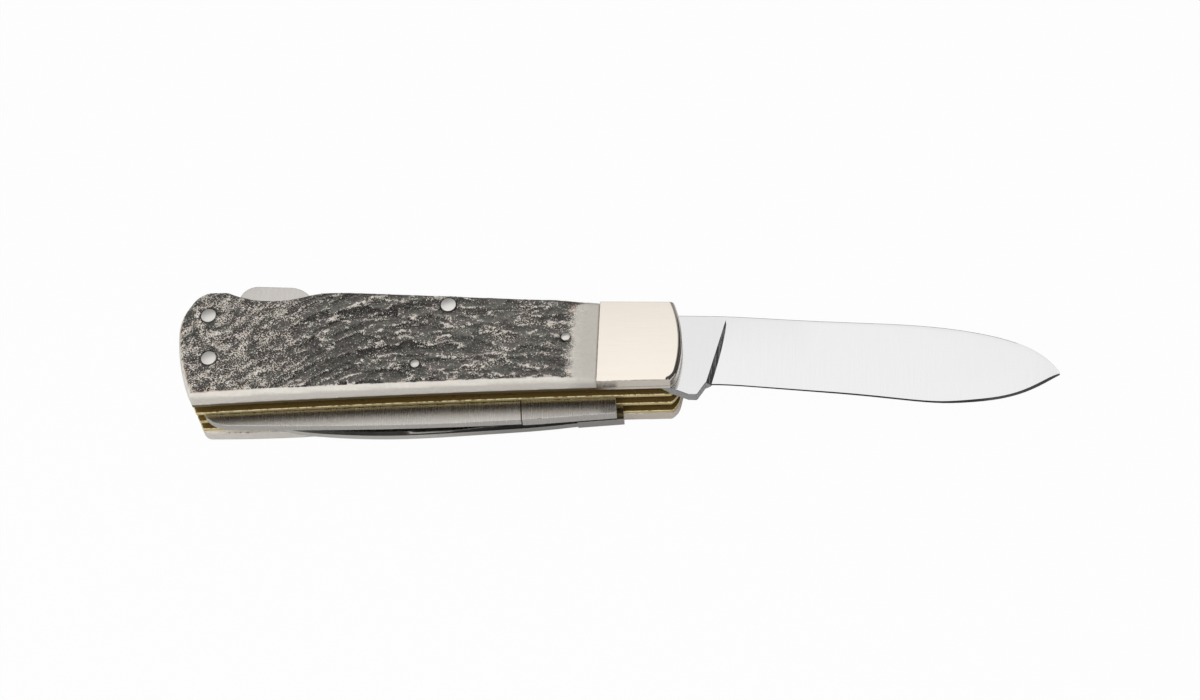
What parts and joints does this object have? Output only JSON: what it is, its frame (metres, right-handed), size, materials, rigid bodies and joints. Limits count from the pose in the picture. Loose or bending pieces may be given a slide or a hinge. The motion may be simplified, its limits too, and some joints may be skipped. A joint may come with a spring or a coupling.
{
  "type": "folding hunting knife",
  "caption": "Folding hunting knife with a stag handle, polished bolsters and brass liners: a locking main blade, a saw and a gutting blade turn on one pivot.",
  "frame": {"origin": "on the pivot axis of the blades, at the flat outer face of the lower bolster", "axes": "+X runs along the handle to the tip of the open main blade, +Y to the back of the handle, +Z through its thickness from the lower scale to the upper one"},
  "size_m": [0.1924, 0.0337, 0.0201],
  "materials": {
    "stag": "dark grained stag with pale polished rims",
    "nickel_silver": "polished",
    "brass": "satin",
    "blade_steel": "mirror polished",
    "ground_steel": "cross-ground satin",
    "spring_steel": "satin",
    "pin_steel": "polished domes"
  },
  "bodies": {
    "handle": {"lower_scale": "stag", "upper_scale": "stag", "lower_bolster": "nickel_silver", "upper_bolster": "nickel_silver", "lower_liner": "brass", "gutting_saw_liner": "brass", "saw_main_liner": "brass", "upper_liner": "brass", "gutting_spring": "spring_steel", "saw_spring": "spring_steel", "lock_spacer": "spring_steel", "lock_spring": "spring_steel", "pivot_pin": "pin_steel", "rocker_pin": "pin_steel", "rear_back_pin": "pin_steel", "rear_belly_pin": "pin_steel", "upper_scale_front_pin": "pin_steel", "lower_scale_front_pin": "pin_steel", "upper_scale_rear_pin": "pin_steel", "lower_scale_rear_pin": "pin_steel"},
    "main_blade": {"main_blade": "blade_steel"},
    "saw": {"saw_blade": "ground_steel"},
    "gutting_blade": {"gutting_blade": "ground_steel"},
    "lock_bar": {"lock_bar": "spring_steel"}
  },
  "joints": [
    {"name": "main_blade_fold", "type": "hinge", "parent": "handle", "child": "main_blade", "pos_m": [0, 0, 0.01265], "axis": [0, 0, 1], "range_deg": [-174, 0]},
    {"name": "saw_open", "type": "hinge", "parent": "handle", "child": "saw", "pos_m": [0, 0, 0.00895], "axis": [0, 0, 1], "range_deg": [0, 175], "deforming": ["saw_spring"]},
    {"name": "gutting_blade_open", "type": "hinge", "parent": "handle", "child": "gutting_blade", "pos_m": [0, 0, 0.00525], "axis": [0, 0, 1], "range_deg": [0, 175], "deforming": ["gutting_spring"]},
    {"name": "lock_press", "type": "hinge", "parent": "handle", "child": "lock_bar", "pos_m": [-0.04225, 0.0107, 0.01265], "axis": [0, 0, 1], "range_deg": [0, 3], "stiffness_Nm_per_rad": 1, "springref_deg": -2.86, "deforming": ["lock_spring"]}
  ]
}
